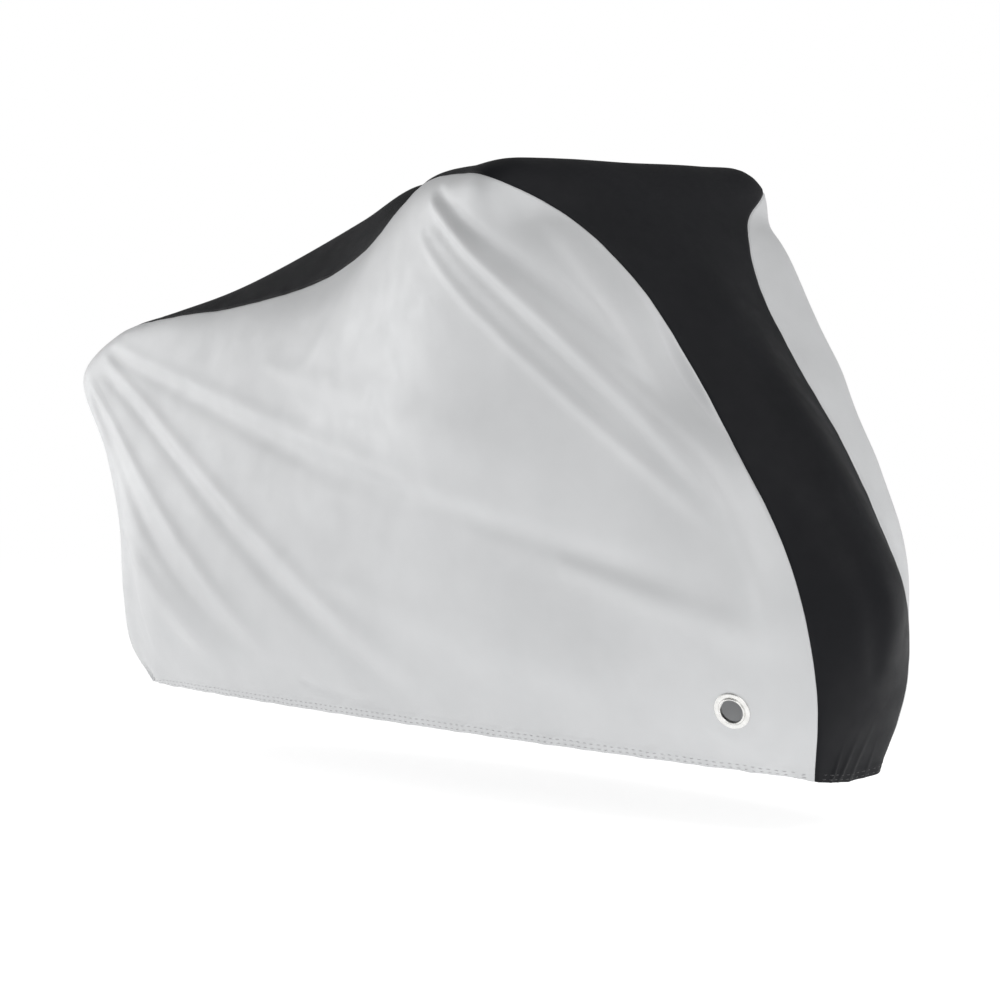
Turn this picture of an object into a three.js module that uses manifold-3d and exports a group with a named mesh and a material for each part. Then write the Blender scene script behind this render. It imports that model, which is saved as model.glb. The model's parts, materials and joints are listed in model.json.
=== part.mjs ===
// A fitted bicycle cover, as it hangs in use. Two silver side panels are sewn to one black
// centre panel, which runs from the front hem up over a wide front peak and a narrow middle
// hump and down to the rear hem. A metal eyelet is set low in each side panel, near the front.
//
// Millimetres, +X forward, +Y to the left, +Z up. x = 0 is the line of the front peak. Heights
// in the tables are above the ground, and the finished group is lowered so that its origin is
// the point under the cloth where the middle of the peak is carried.

import * as THREE from 'three';
import { mergeVertices } from 'three/addons/utils/BufferGeometryUtils.js';
import Module from 'manifold-3d';

const wasm = await Module();
wasm.setup();

const { smoothstep } = THREE.MathUtils;

// Cloth and seams
const CLOTH_THICKNESS = 2;
const SEAM_GAP = 0.4; // clearance between two pieces that meet in a seam
const CARRIED_HEIGHT = 1004; // underside of the cloth at the front peak, above the ground

// Hem: seen from above a long narrow oval, a little lower at the front and at its ends
const HEM_HEIGHT = 93.2; // of its ends, taken to x = 0
const HEM_FALL = 0.0176; // drop for each millimetre forward
const HEM_LIFT = 0.12; // rise for each millimetre that it bulges beyond its ends
const HEM_MIDDLE = -314; // x of its widest place
const HEM_HALF_LENGTH = 751;
const HEM_HALF_WIDTH = 182; // at its widest place
const HEM_END_HALF_WIDTH = 90; // where it meets the centre panel
const HEM_FULLNESS = 2.2; // 2 is a parabola, more is squarer

// Belly: the cloth bags out a little above its drawn-in hem
const BELLY_WAY = 0.3; // of the way from the hem up to the shoulder
const BELLY_OUT = 44;
const BELLY_FULL_DROP = 500; // panels with less drop from shoulder to hem bag out less

// Sections across the cover, from the front hem over the peak and the hump to the rear hem.
// crown: x, z of the centre line.   rim, where the top turns down, and shoulder: x, half-width,
// z.   hem: x.   seam: its place on the way from the crown, 0, to the rim, 1.
const SECTIONS = [
  { crown: [436, 75], rim: [431, 79, 81], shoulder: [415, 87, 84], hem: 408, seam: 1 },
  { crown: [482, 205], rim: [458, 107, 205], shoulder: [424, 124, 164], hem: 372, seam: 1 },
  { crown: [513, 345], rim: [444, 124, 340], shoulder: [414, 167, 280], hem: 322, seam: 1 },
  { crown: [455, 465], rim: [396, 123, 450], shoulder: [398, 187, 394], hem: 262, seam: 1 },
  { crown: [362, 588], rim: [319, 129, 573], shoulder: [336, 206, 525], hem: 190, seam: 1 },
  { crown: [263, 703], rim: [230, 127, 695], shoulder: [245, 228, 650], hem: 115, seam: 1 },
  { crown: [165, 815], rim: [141, 143, 815], shoulder: [153, 259, 779], hem: 45, seam: 1 },
  { crown: [85, 908], rim: [62, 209, 915], shoulder: [63, 290, 884], hem: -15, seam: 1 },
  { crown: [0, 1006], rim: [-6, 319, 976], shoulder: [-9, 324, 894], hem: -75, seam: 1 },
  { crown: [-100, 985], rim: [-100, 290, 985], shoulder: [-110, 314, 891], hem: -145, seam: 1 },
  { crown: [-210, 968], rim: [-200, 250, 980], shoulder: [-205, 289, 861], hem: -215, seam: 1 },
  { crown: [-330, 968], rim: [-330, 180, 947], shoulder: [-330, 244, 815], hem: -290, seam: 1 },
  { crown: [-458, 989], rim: [-480, 128, 874], shoulder: [-465, 204, 760], hem: -380, seam: 1 },
  { crown: [-590, 936], rim: [-590, 125, 827], shoulder: [-580, 184, 715], hem: -460, seam: 1 },
  { crown: [-816, 847], rim: [-816, 125, 783], shoulder: [-780, 166, 665], hem: -600, seam: 1 },
  { crown: [-990, 783], rim: [-980, 122, 765], shoulder: [-930, 152, 635], hem: -730, seam: 0.96 },
  { crown: [-1215, 716], rim: [-1150, 108, 728], shoulder: [-1055, 140, 600], hem: -835, seam: 0.74 },
  { crown: [-1325, 645], rim: [-1251, 100, 652], shoulder: [-1130, 132, 560], hem: -905, seam: 0.66 },
  { crown: [-1268, 540], rim: [-1195, 97, 540], shoulder: [-1118, 128, 450], hem: -950, seam: 0.66 },
  { crown: [-1232, 400], rim: [-1157, 96, 405], shoulder: [-1095, 122, 330], hem: -980, seam: 0.66 },
  { crown: [-1220, 262], rim: [-1148, 94, 270], shoulder: [-1088, 114, 230], hem: -1002, seam: 0.66 },
  { crown: [-1188, 172], rim: [-1129, 92, 178], shoulder: [-1078, 106, 158], hem: -1023, seam: 0.68 },
  { crown: [-1119, 113], rim: [-1070, 88, 114], shoulder: [-1054, 91, 114], hem: -1042, seam: 0.7 },
];

// Soft folds in each side panel, seen from its side. They fan out from the end of the peak
// and from the rear top. from and to: x, z.   bow: sideways reach of the middle, to the left
// of the way from-to.   widths: half-width at each end.   rise: out of the cloth, or in, at
// the widest.
const RIGHT_FOLDS = [
  { from: [-165, 955], to: [410, 430], bow: 33, widths: [15, 28], rise: 12 },
  { from: [-155, 970], to: [330, 566], bow: 33, widths: [15, 32], rise: -11 },
  { from: [-190, 905], to: [388, 428], bow: 0, widths: [14, 20], rise: 5 },
  { from: [-1185, 735], to: [91, 455], bow: -20, widths: [18, 34], rise: 6 },
  { from: [-1180, 712], to: [20, 420], bow: -14, widths: [18, 34], rise: -7 },
  { from: [-420, 520], to: [380, 326], bow: 20, widths: [22, 30], rise: -9 },
  { from: [60, 395], to: [470, 276], bow: 10, widths: [18, 34], rise: 8 },
  { from: [-1190, 712], to: [-190, 135], bow: -1, widths: [16, 34], rise: 8 },
  { from: [-1190, 680], to: [-240, 112], bow: 5, widths: [16, 34], rise: -9 },
  { from: [-1225, 668], to: [-590, 176], bow: -17, widths: [16, 28], rise: 8 },
  { from: [-1215, 645], to: [-630, 178], bow: -50, widths: [16, 28], rise: -7 },
  { from: [-1120, 420], to: [-745, 160], bow: -10, widths: [18, 34], rise: 9 },
  { from: [-450, 470], to: [260, 330], bow: 0, widths: [30, 90], rise: -10 },
  { from: [-520, 355], to: [230, 185], bow: 0, widths: [20, 80], rise: 9 },
  { from: [-700, 690], to: [200, 500], bow: 15, widths: [20, 75], rise: 8 },
];
const LEFT_FOLDS = [
  { from: [-150, 930], to: [390, 445], bow: -18, widths: [16, 34], rise: -9 },
  { from: [-90, 915], to: [330, 600], bow: -8, widths: [18, 36], rise: 8 },
  { from: [-210, 900], to: [190, 380], bow: 14, widths: [18, 42], rise: 9 },
  { from: [-1120, 690], to: [-300, 520], bow: 22, widths: [20, 46], rise: 8 },
  { from: [-1150, 650], to: [-180, 210], bow: -26, widths: [20, 52], rise: -10 },
  { from: [-1172, 610], to: [-560, 170], bow: 12, widths: [18, 40], rise: 10 },
  { from: [-420, 470], to: [420, 290], bow: -20, widths: [50, 42], rise: 7 },
  { from: [-1170, 480], to: [-860, 180], bow: 0, widths: [20, 34], rise: 7 },
];

// The soft knobs at both ends of the front peak, which leans a little, higher on the left
const PEAK_END = { x: -4, halfWidth: 266, height: 985, radius: 48, rightRise: 4, leftRise: 8 };

// Eyelet and the round of cloth that holds it
const EYELET = { x: 346, height: 187, flangeRadius: 29, washerRadius: 27.5, holeRadius: 18 };
const BARREL_WALL = 1.2;
const FLANGE_THICKNESS = 1.2;
const FLANGE_BEVEL = 0.5;
const LIP_HEIGHT = 1.4; // rolled lip above the flange
const LIP_WIDTH = 3.6;
const LIP_STEPS = 4;
const GROOVE = 4; // between flange and washer, with room for the cloth's curve
const PATCH_RADIUS = 44;
const ROUND_SIDES = 28;

// Grid of the cloth. Across the cover the hems are at -4 and 4, the bellies at -3 and 3, the
// shoulders at -2 and 2, and the rims at -1 and 1. The columns -1 and 1 follow the seams.
const HEM = 4;
const SHOULDER = 2;
const CELLS_PER_SECTION = 3;
const BANDS = [
  { from: -HEM, to: -3, cells: 4 },
  { from: -3, to: -2, cells: 9 },
  { from: -2, to: -1, cells: 5 },
  { from: -1, to: 1, cells: 8 },
  { from: 1, to: 2, cells: 5 },
  { from: 2, to: 3, cells: 9 },
  { from: 3, to: HEM, cells: 4 },
];
const FOLD_START = 1.15; // folds die out between here and the rim
const FOLD_END = 3.75; // and between here and the hem
const FOLD_RISE_WAY = 0.06; // share of a fold's length over which it rises at its start
const FOLD_FADE_WAY = 0.3; // and over which it dies out at its end
const OUTSIDE = 1000; // a distance to the side that is well clear of the cloth

const silverCloth = new THREE.MeshStandardMaterial({
  color: 0xc8cacb,
  roughness: 0.55,
  metalness: 0.1,
});
const blackCloth = new THREE.MeshStandardMaterial({ color: 0x25262a, roughness: 0.6 });
const nickel = new THREE.MeshStandardMaterial({ color: 0xc9c9c7, roughness: 0.22, metalness: 1 });

/** Half-width of the hem's oval at x. */
function hemHalfWidth(x) {
  const fromMiddle = Math.abs(x - HEM_MIDDLE) / HEM_HALF_LENGTH;
  return HEM_HALF_WIDTH - (HEM_HALF_WIDTH - HEM_END_HALF_WIDTH) * fromMiddle ** HEM_FULLNESS;
}

/** Height of the hem above the ground at x. */
function hemHeight(x) {
  return HEM_HEIGHT - HEM_FALL * x + HEM_LIFT * (hemHalfWidth(x) - HEM_END_HALF_WIDTH);
}

/** The points of one section on the left half: crown, rim, shoulder, belly and hem. */
function sectionPoints({ crown, rim, shoulder, hem }) {
  const top = new THREE.Vector3(...shoulder);
  const bottom = new THREE.Vector3(hem, hemHalfWidth(hem), hemHeight(hem));
  const belly = bottom.clone().lerp(top, BELLY_WAY);
  belly.y += BELLY_OUT * Math.min(1, top.distanceTo(bottom) / BELLY_FULL_DROP);
  const [crownX, crownZ] = crown;
  return [new THREE.Vector3(crownX, 0, crownZ), new THREE.Vector3(...rim), top, belly, bottom];
}

// Smooth lines along the left half of the cover, one through each of the points of its sections
const sections = SECTIONS.map(sectionPoints);
const linesAlong = sections[0].map(
  (_, k) => new THREE.CatmullRomCurve3(sections.map((points) => points[k])),
);

/** The smooth curve across the cover at a station, 0 at the front hem to 1 at the rear. */
function curveAcross(station) {
  const [crown, ...left] = linesAlong.map((line) => line.getPoint(station));
  const right = left.map(({ x, y, z }) => new THREE.Vector3(x, -y, z)).reverse();
  return new THREE.CatmullRomCurve3([...right, crown, ...left]);
}

/** The place of the seam at a station, between those of the two sections beside it. */
function seamPlace(station) {
  const at = station * (SECTIONS.length - 1);
  const before = Math.min(Math.floor(at), SECTIONS.length - 2);
  return THREE.MathUtils.lerp(SECTIONS[before].seam, SECTIONS[before + 1].seam, at - before);
}

/** Where a column runs across the cover, if the columns -1 and 1 are drawn onto the seams. */
function placeAcross(column, seam) {
  const fromCrown = Math.abs(column);
  if (fromCrown >= SHOULDER) {
    return column;
  }
  const onTop = fromCrown * seam;
  const onPanel = THREE.MathUtils.mapLinear(fromCrown, 1, SHOULDER, seam, SHOULDER);
  return Math.sign(column) * (fromCrown <= 1 ? onTop : onPanel);
}

/**
 * How far one fold lifts the cloth at x, z: a soft rounded ridge or trough that grows higher
 * where it is wider and fades at both ends.
 */
function foldRise({ from: [x0, z0], to: [x1, z1], bow, widths, rise }, x, z) {
  const length = Math.hypot(x1 - x0, z1 - z0);
  const way = ((x - x0) * (x1 - x0) + (z - z0) * (z1 - z0)) / length ** 2;
  const ends = smoothstep(way, 0, FOLD_RISE_WAY) * smoothstep(1 - way, 0, FOLD_FADE_WAY);
  const offChord = ((x1 - x0) * (z - z0) - (z1 - z0) * (x - x0)) / length;
  const offRidge = offChord - bow * 4 * way * (1 - way);
  const width = THREE.MathUtils.lerp(widths[0], widths[1], way);
  const height = (rise * width) / Math.max(...widths);
  return height * ends * Math.exp(-((offRidge / width) ** 2));
}

/** How far the folds and the ends of the peak lift the cloth at a point of the plain surface. */
function clothRise({ x, y, z }, across) {
  const fromCrown = Math.abs(across);
  const onPanel = smoothstep(fromCrown, 1, FOLD_START) * (1 - smoothstep(fromCrown, FOLD_END, HEM));
  const folds = across < 0 ? RIGHT_FOLDS : LEFT_FOLDS;
  const folded = folds.reduce((sum, fold) => sum + foldRise(fold, x, z), 0);
  const fromEnd = Math.hypot(x - PEAK_END.x, Math.abs(y) - PEAK_END.halfWidth, z - PEAK_END.height);
  const endRise = across < 0 ? PEAK_END.rightRise : PEAK_END.leftRise;
  return onPanel * folded + endRise * Math.exp(-((fromEnd / PEAK_END.radius) ** 2));
}

const columns = [
  BANDS[0].from,
  ...BANDS.flatMap(({ from, to, cells }) =>
    Array.from({ length: cells }, (_, k) => from + ((to - from) * (k + 1)) / cells)),
];
const stationCount = (SECTIONS.length - 1) * CELLS_PER_SECTION + 1;

/** The outer face of the whole cover as one open grid, with a normal at each point. */
function coverSurface() {
  const points = [];
  const places = [];
  for (let i = 0; i < stationCount; i += 1) {
    const station = i / (stationCount - 1);
    const curve = curveAcross(station);
    const across = columns.map((column) => placeAcross(column, seamPlace(station)));
    points.push(...across.map((place) => curve.getPoint((place + HEM) / (2 * HEM))));
    places.push(...across);
  }
  const surface = new THREE.BufferGeometry().setFromPoints(points);
  surface.setIndex(gridFaces(0, columns.length - 1));
  surface.computeVertexNormals();
  const { position, normal } = surface.attributes;
  points.forEach((point, k) => {
    const outward = new THREE.Vector3().fromBufferAttribute(normal, k);
    point.addScaledVector(outward, clothRise(point, places[k]));
    position.setXYZ(k, point.x, point.y, point.z);
  });
  surface.computeVertexNormals();
  return surface;
}

/**
 * Two triangles for each cell of the columns first to last, facing out. The cells are split
 * along the way the folds run, down and forward.
 */
function gridFaces(first, last) {
  const faces = [];
  const cols = last - first + 1;
  for (let i = 0; i + 1 < stationCount; i += 1) {
    for (let j = 0; j + 1 < cols; j += 1) {
      const a = i * cols + j;
      const [b, c, d] = [a + 1, a + cols + 1, a + cols];
      const onRight = columns[first + j] < 0;
      faces.push(...(onRight ? [a, b, c, a, c, d] : [a, b, d, b, c, d]));
    }
  }
  return faces;
}

/** The points round the edge of a grid, in the order that keeps its face on the left. */
function gridEdge(rows, cols) {
  const last = rows - 1;
  return [
    ...Array.from({ length: cols - 1 }, (_, j) => j),
    ...Array.from({ length: last }, (_, i) => i * cols + cols - 1),
    ...Array.from({ length: cols - 1 }, (_, j) => last * cols + cols - 1 - j),
    ...Array.from({ length: last }, (_, i) => (last - i) * cols),
  ];
}

/**
 * One piece of cloth: the cover's columns first to last, with an inner face one thickness
 * inside the outer one and a closed edge. A seam edge is drawn back from its neighbour.
 */
function clothPiece(surface, first, last, drawnBack) {
  const { position, normal } = surface.attributes;
  const cols = last - first + 1;
  const outer = [];
  const inner = [];
  for (let i = 0; i < stationCount; i += 1) {
    for (let j = first; j <= last; j += 1) {
      const k = i * columns.length + j;
      const point = new THREE.Vector3().fromBufferAttribute(position, k);
      if (j === drawnBack?.column) {
        const next = new THREE.Vector3().fromBufferAttribute(position, k + drawnBack.towards);
        point.addScaledVector(next.sub(point).normalize(), SEAM_GAP);
      }
      const outward = new THREE.Vector3().fromBufferAttribute(normal, k);
      outer.push(point);
      inner.push(point.clone().addScaledVector(outward, -CLOTH_THICKNESS));
    }
  }
  const count = outer.length;
  const faces = gridFaces(first, last);
  const innerFaces = faces.map((k) => k + count).reverse();
  const edge = gridEdge(stationCount, cols);
  const edgeFaces = edge.flatMap((a, k) => {
    const b = edge[(k + 1) % edge.length];
    return [a, a + count, b + count, a, b + count, b];
  });
  const piece = new THREE.BufferGeometry().setFromPoints([...outer, ...inner]);
  piece.setIndex([...faces, ...innerFaces, ...edgeFaces]);
  return piece;
}

/** A closed geometry as a solid that can be cut. */
function toSolid(geometry) {
  const bare = geometry.clone();
  bare.deleteAttribute('normal');
  bare.deleteAttribute('uv');
  const merged = mergeVertices(bare);
  return new wasm.Manifold(new wasm.Mesh({
    numProp: 3,
    vertProperties: new Float32Array(merged.attributes.position.array),
    triVerts: new Uint32Array(merged.index.array),
  }));
}

/** A cut solid as a geometry again. */
function toGeometry(solid) {
  const { vertProperties, triVerts } = solid.getMesh();
  const geometry = new THREE.BufferGeometry();
  geometry.setAttribute('position', new THREE.BufferAttribute(vertProperties, 3));
  geometry.setIndex(new THREE.BufferAttribute(triVerts, 1));
  return geometry;
}

/** The place of an eyelet on a side panel: the plane through four points of its cloth. */
function eyeletPlace(panel, side) {
  const reach = EYELET.flangeRadius;
  const cloth = new THREE.Mesh(panel);
  const onCloth = ([dx, dz]) => {
    const start = new THREE.Vector3(EYELET.x + dx, side * OUTSIDE, EYELET.height + dz);
    const ray = new THREE.Raycaster(start, new THREE.Vector3(0, -side, 0));
    return ray.intersectObject(cloth)[0].point;
  };
  const rim = [[reach, 0], [0, reach], [-reach, 0], [0, -reach]].map(onCloth);
  const [front, top, rear, bottom] = rim;
  const up = top.clone().sub(bottom);
  const forward = front.clone().sub(rear);
  const outward = up.cross(forward).normalize().multiplyScalar(side);
  const centre = rim.reduce((sum, point) => sum.add(point), new THREE.Vector3());
  centre.divideScalar(rim.length).addScaledVector(outward, -CLOTH_THICKNESS / 2);
  const turn = new THREE.Quaternion().setFromUnitVectors(new THREE.Vector3(0, 1, 0), outward);
  return { centre, turn };
}

/** A round bar through the cloth at an eyelet, for cutting. */
function cuttingBar(radius, { centre, turn }) {
  const bar = new THREE.CylinderGeometry(radius, radius, PATCH_RADIUS, ROUND_SIDES);
  bar.applyQuaternion(turn).translate(centre.x, centre.y, centre.z);
  return toSolid(bar);
}

/** A metal eyelet about the Y axis: washer, barrel, flange and rolled lip, grooved for cloth. */
function eyeletGeometry() {
  const { flangeRadius, washerRadius, holeRadius } = EYELET;
  const barrelRadius = holeRadius + BARREL_WALL;
  const face = GROOVE / 2 + FLANGE_THICKNESS;
  const lip = Array.from({ length: LIP_STEPS + 1 }, (_, k) => {
    const angle = (Math.PI * k) / LIP_STEPS;
    return [
      holeRadius + (LIP_WIDTH / 2) * (1 + Math.cos(angle)),
      face + LIP_HEIGHT * Math.sin(angle),
    ];
  });
  const profile = [
    [holeRadius, -face],
    [washerRadius, -face],
    [washerRadius, -GROOVE / 2],
    [barrelRadius, -GROOVE / 2],
    [barrelRadius, GROOVE / 2],
    [flangeRadius, GROOVE / 2],
    [flangeRadius, face - FLANGE_BEVEL],
    [flangeRadius - FLANGE_BEVEL, face],
    ...lip,
    [holeRadius, -face],
  ].map(([radius, height]) => new THREE.Vector2(radius, height));
  const ring = new THREE.LatheGeometry(profile, ROUND_SIDES);
  ring.deleteAttribute('normal');
  ring.deleteAttribute('uv');
  return mergeVertices(ring);
}

const cover = new THREE.Group();

function addPiece(name, geometry, material) {
  const mesh = new THREE.Mesh(geometry, material);
  mesh.name = name;
  cover.add(mesh);
  return mesh;
}

const surface = coverSurface();
const rightSeam = columns.indexOf(-1);
const leftSeam = columns.indexOf(1);
const sides = [
  { name: 'right', side: -1, first: 0, last: rightSeam, seam: rightSeam },
  { name: 'left', side: 1, first: leftSeam, last: columns.length - 1, seam: leftSeam },
];

addPiece('centre_panel', clothPiece(surface, rightSeam, leftSeam), blackCloth);

for (const { name, side, first, last, seam } of sides) {
  const uncut = clothPiece(surface, first, last, { column: seam, towards: side });
  const place = eyeletPlace(uncut, side);
  const wholePanel = toSolid(uncut);
  const panel = wholePanel.subtract(cuttingBar(PATCH_RADIUS + SEAM_GAP, place));
  const hole = cuttingBar(EYELET.holeRadius + BARREL_WALL + SEAM_GAP, place);
  const patch = wholePanel.intersect(cuttingBar(PATCH_RADIUS, place)).subtract(hole);
  addPiece(`${name}_panel`, toGeometry(panel), silverCloth);
  addPiece(`${name}_eyelet_patch`, toGeometry(patch), silverCloth);
  const eyelet = addPiece(`${name}_eyelet`, eyeletGeometry(), nickel);
  eyelet.position.copy(place.centre);
  eyelet.quaternion.copy(place.turn);
}

cover.position.z = -CARRIED_HEIGHT;

export default cover;
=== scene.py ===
# A fitted cloth cover as it hangs in use: two silver side panels sewn to one black centre panel,
# stitched hems, and a nickel eyelet low in each side. The cut is given in millimetres, +X forward,
# +Y to the left, heights above the ground. Finished meshes are in metres in the part's frame.
import json
from math import radians

import bpy
import numpy as np
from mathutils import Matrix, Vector


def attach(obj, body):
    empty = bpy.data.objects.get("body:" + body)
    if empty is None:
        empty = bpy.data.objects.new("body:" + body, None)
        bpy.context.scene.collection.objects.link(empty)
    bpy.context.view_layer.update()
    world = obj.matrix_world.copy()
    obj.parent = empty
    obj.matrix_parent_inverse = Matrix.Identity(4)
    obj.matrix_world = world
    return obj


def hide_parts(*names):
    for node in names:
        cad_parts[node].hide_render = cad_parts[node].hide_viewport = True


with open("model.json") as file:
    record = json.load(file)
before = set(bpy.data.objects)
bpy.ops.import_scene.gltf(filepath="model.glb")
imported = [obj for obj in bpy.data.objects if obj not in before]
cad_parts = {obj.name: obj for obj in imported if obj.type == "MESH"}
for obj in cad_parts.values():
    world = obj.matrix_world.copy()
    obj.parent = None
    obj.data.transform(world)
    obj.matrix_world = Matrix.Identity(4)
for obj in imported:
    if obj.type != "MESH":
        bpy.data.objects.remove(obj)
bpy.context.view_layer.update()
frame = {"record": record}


# Right side panel: silver-coated woven polyester, cut in one from the front hem to the rear hem.
# It is sewn to the centre panel along its upper edge and hangs in folds that fan out from the
# front peak and from the rear top. Its lower edge is turned up into a narrow hem.
MM = 0.001
CARRIED_HEIGHT = 1004  # underside of the cloth at the front peak, the part's origin
CLOTH_THICKNESS = 1.0

HEM_HEIGHT = 93.2  # of the hem's ends, taken to x = 0
HEM_FALL = 0.0176  # drop for each millimetre forward
HEM_LIFT = 0.12  # rise for each millimetre that the hem bulges beyond its ends
HEM_MIDDLE = -314
HEM_HALF_LENGTH = 751
HEM_HALF_WIDTH = 182
HEM_END_HALF_WIDTH = 90
HEM_FULLNESS = 2.2  # 2 is a parabola, more is squarer
BELLY_WAY = 0.3  # of the way from the hem up to the shoulder
BELLY_OUT = 44
BELLY_FULL_DROP = 500  # panels with less drop from shoulder to hem bag out less

# Sections across the cover, from the front hem over the peak and the hump to the rear hem.
# crown: x, z of the centre line. rim, where the top turns down, and shoulder: x, half-width, z.
# hem: x. seam: its place on the way from the crown, 0, to the rim, 1.
SECTION_COLUMNS = [
    ("crown", float, 2),
    ("rim", float, 3),
    ("shoulder", float, 3),
    ("hem", float),
    ("seam", float),
]
SECTIONS = np.array([
    ((436, 75), (431, 79, 81), (415, 87, 84), 408, 1),
    ((482, 205), (458, 107, 205), (424, 124, 164), 372, 1),
    ((513, 345), (444, 124, 340), (414, 167, 280), 322, 1),
    ((455, 465), (396, 123, 450), (398, 187, 394), 262, 1),
    ((362, 588), (319, 129, 573), (336, 206, 525), 190, 1),
    ((263, 703), (230, 127, 695), (245, 228, 650), 115, 1),
    ((165, 815), (141, 143, 815), (153, 259, 779), 45, 1),
    ((85, 908), (62, 209, 915), (63, 290, 884), -15, 1),
    ((0, 1006), (-6, 319, 976), (-9, 324, 894), -75, 1),
    ((-100, 985), (-100, 290, 985), (-110, 314, 891), -145, 1),
    ((-210, 968), (-200, 250, 980), (-205, 289, 861), -215, 1),
    ((-330, 968), (-330, 180, 947), (-330, 244, 815), -290, 1),
    ((-458, 989), (-480, 128, 874), (-465, 204, 760), -380, 1),
    ((-590, 936), (-590, 125, 827), (-580, 184, 715), -460, 1),
    ((-816, 847), (-816, 125, 783), (-780, 166, 665), -600, 1),
    ((-990, 783), (-980, 122, 765), (-930, 152, 635), -730, 0.96),
    ((-1215, 716), (-1150, 108, 728), (-1055, 140, 600), -835, 0.74),
    ((-1325, 645), (-1251, 100, 652), (-1130, 132, 560), -905, 0.66),
    ((-1268, 540), (-1195, 97, 540), (-1118, 128, 450), -950, 0.66),
    ((-1232, 400), (-1157, 96, 405), (-1095, 122, 330), -980, 0.66),
    ((-1220, 262), (-1148, 94, 270), (-1088, 114, 230), -1002, 0.66),
    ((-1188, 172), (-1129, 92, 178), (-1078, 106, 158), -1023, 0.68),
    ((-1119, 113), (-1070, 88, 114), (-1054, 91, 114), -1042, 0.7),
], SECTION_COLUMNS)

# Places across the cover: 0 on the crown, 1 on the rim, 2 the shoulder, 3 the belly, 4 the hem
RIM, HEM = 1, 4
RIGHT, LEFT = -1, 1  # the way in which a cloth's columns run, as the sign of y

# Soft folds seen from the side. start and end: x, z. bow: sideways reach of the middle, to the
# left of the way. widths: half-width at each end. rise: out of the cloth, or in, at the widest.
FOLD_COLUMNS = [
    ("start", float, 2),
    ("end", float, 2),
    ("bow", float),
    ("widths", float, 2),
    ("rise", float),
]
RIGHT_FOLDS = np.array([
    ((-165, 955), (410, 430), 33, (8, 31), 22),
    ((-155, 970), (355, 540), 33, (7, 38), -21),
    ((-155, 925), (403, 422), 22, (6, 13), -5),
    ((-190, 905), (388, 428), 0, (7, 16), 7),
    ((-1185, 735), (91, 455), -20, (10, 32), 6),
    ((-1180, 712), (20, 420), -14, (12, 34), -8),
    ((-420, 520), (400, 322), 20, (10, 32), -9),
    ((60, 395), (470, 276), 10, (16, 34), 8),
    ((-1190, 712), (-190, 135), -1, (9, 32), 8),
    ((-1190, 680), (-240, 112), 5, (10, 34), -10),
    ((-1225, 668), (-590, 176), -17, (8, 26), 8),
    ((-1215, 645), (-630, 178), -50, (9, 28), -8),
    ((-1120, 420), (-745, 160), -10, (12, 34), 10),
    ((-450, 470), (260, 330), 0, (12, 90), -10),
    ((-520, 355), (230, 185), 0, (10, 80), 9),
    ((-700, 690), (200, 500), 15, (8, 75), 8),
    ((-575, 163), (-340, 134), -5, (8, 10), -3),
], FOLD_COLUMNS)
FOLD_START = 1.15  # folds die out between this place across the cover and the rim
FOLD_END = 3.75  # and between this place and the hem
FOLD_RISE_WAY = 0.06  # share of a fold's length over which it rises at its start
FOLD_FADE_WAY = 0.3  # and over which it dies out at its end

# The soft knobs at both ends of the front peak
PEAK_END_PLACE = np.array([-4, 266, 985])  # on the left; the right one is its mirror image
PEAK_END_RADIUS = 48
RIGHT_END_RISE = 4

# Finish of the edges, by the distance from the hem or from the seam
HEM_BAND = (16, 21)  # the turned-up cloth ends in a soft step between these
HEM_RISE = 0.7  # of the doubled cloth, on the outside
HEM_EXTRA = 1.0  # of the doubled cloth, on the inside
HEM_ROUND = 2.5  # the fold at the hem's foot is rounded over this way
HEM_TUCK = 0.7
STITCH_ROWS = (5, 12.5)
STITCH_SINK = 0.45  # the thread draws the cloth in along each row
STITCH_SINK_WIDTH = 2
SEAM_DIP = 1.6  # both cloths turn in where they are sewn together
SEAM_DIP_WIDTH = 3
PUCKER_WAVES = np.array([(61, 0.5, 0.3), (37, 0.35, 1.9), (97, 0.6, 4.1)])  # length, height, phase
HEM_PUCKER_REACH = 34
SEAM_PUCKER = 0.35
SEAM_PUCKER_REACH = 18

# Grid of the cloth: set distances at its edges, even steps between them
HEM_STEPS = np.array([0, 1, 2.5, 5, 7.5, 10, 12.5, 15, 17.5, 20, 24, 30])
SEAM_STEPS = np.array([0.4, 1.2, 2.2, 3.6, 5.5, 8])
EDGE_SHARE = 1.25  # a way shorter than this many times its set distances draws them together
STATION_CELLS = 346
PANEL_CELLS = 112
LINE_SAMPLES = 2001
ACROSS_SAMPLES = 241
SHARP_ANGLE = radians(40)  # edges that turn more than this stay crisp

# The cloth lies flat round each eyelet and is cut away under its flange
EYELET_FACE = 3.2  # of the flange, above the middle of the eyelet
EYELET_MOUNT_UP = 25  # from the middle of the eyelet up to its mount
EYELET_CLOTH_FACE = 0.9
EYELET_FLAT_RADIUS = 32
EYELET_FADE_RADIUS = 66
EYELET_CUT_RADIUS = 24


def smoothstep(value, low, high):
    """0 below low, 1 above high, and an S-shaped cubic between them."""
    way = np.clip((value - low) / (high - low), 0, 1)
    return way * way * (3 - 2 * way)


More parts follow.
